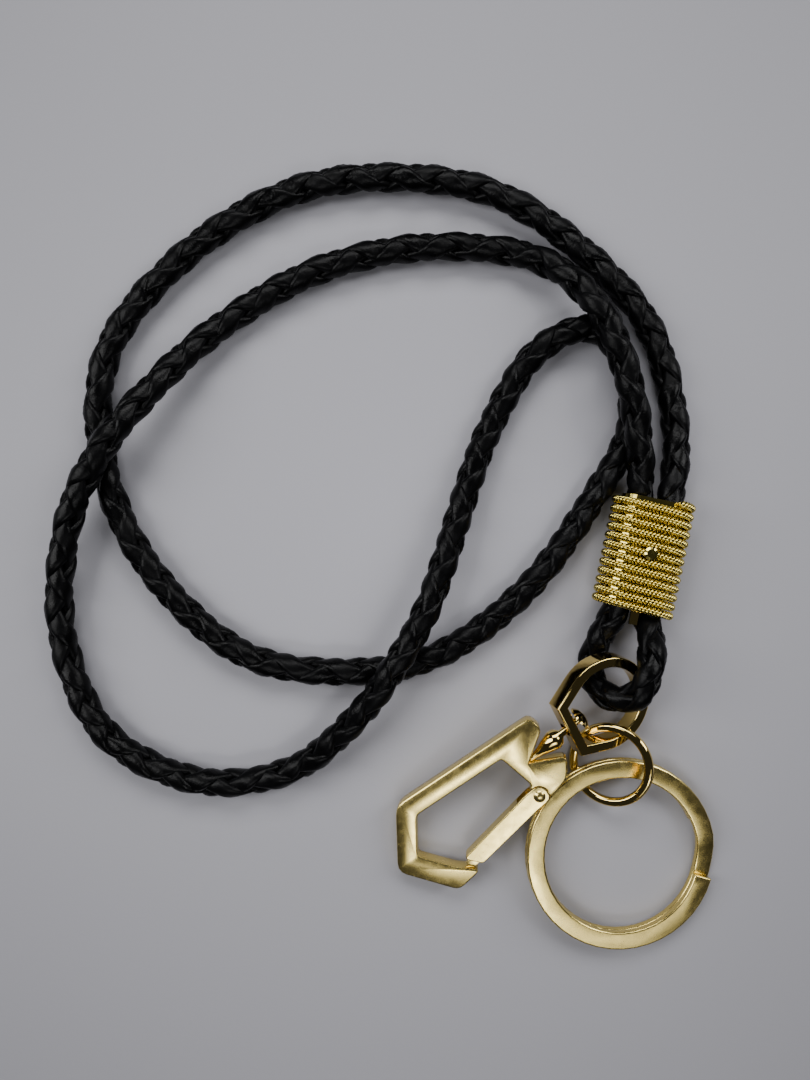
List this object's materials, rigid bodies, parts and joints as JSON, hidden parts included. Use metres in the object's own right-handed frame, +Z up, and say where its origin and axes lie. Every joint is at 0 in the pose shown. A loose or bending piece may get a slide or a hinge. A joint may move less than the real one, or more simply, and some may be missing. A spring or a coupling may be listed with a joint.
{
  "type": "lanyard",
  "caption": "Neck lanyard of doubled braided leather cord with a rope-wire sleeve, a stirrup bail, a swivel snap hook with a sprung gate, a jump ring and a split key ring.",
  "frame": {"origin": "on the table, under the middle of the sleeve and the metal fittings; the neck cord isn't counted", "axes": "+Z up from the table, +Y from the key ring and the hook towards the sleeve, +X to the right as it lies"},
  "size_m": [0.1344, 0.1581, 0.0127],
  "materials": {
    "leather": "black, braided, semi-matte",
    "rope_gold": "bright twisted wire",
    "polished_gold": "mirror polished, warm gold",
    "satin_gold": "satin, pale gold",
    "spring_steel": "drawn wire"
  },
  "bodies": {
    "sleeve": {"sleeve_liner": "rope_gold", "rope_wire_upper": "rope_gold", "rope_wire_lower": "rope_gold", "wire_pin": "polished_gold", "cord_spacer": "polished_gold", "neck_cord": "leather", "bail_loop": "leather"},
    "bail": {"bail": "polished_gold"},
    "hook": {"hook_frame": "satin_gold", "swivel_stud": "polished_gold", "gate_pin": "satin_gold", "gate_spring": "spring_steel"},
    "gate": {"gate": "satin_gold"},
    "jump_ring": {"jump_ring": "polished_gold"},
    "key_ring": {"key_ring": "satin_gold"}
  },
  "joints": [
    {"name": "bail_swing", "type": "hinge", "parent": "sleeve", "child": "bail", "pos_m": [0.01586, 0.00921, 0.00471], "axis": [-0.4526, 0.8244, 0.34], "range_deg": [0, 25]},
    {"name": "hook_swivel", "type": "hinge", "parent": "bail", "child": "hook", "pos_m": [0.00176, 0.00006, 0.00814], "axis": [0.7334, 0.665, 0.1407], "continuous": true},
    {"name": "gate_hinge", "type": "hinge", "parent": "hook", "child": "gate", "pos_m": [-0.00383, -0.01352, 0.00625], "axis": [0.1042, 0.0945, -0.9901], "range_deg": [0, 14], "stiffness_Nm_per_rad": 0.004, "springref_deg": -20.05},
    {"name": "jump_ring_turn", "type": "hinge", "parent": "bail", "child": "jump_ring", "pos_m": [0.0107, -0.0083, 0.00445], "axis": [0.1256, -0.9921, 0], "range_deg": [0, 55]},
    {"name": "key_ring_turn", "type": "hinge", "parent": "jump_ring", "child": "key_ring", "pos_m": [0.01301, -0.02655, 0.00445], "axis": [-0.1256, 0.9921, 0], "range_deg": [0, 55]}
  ]
}
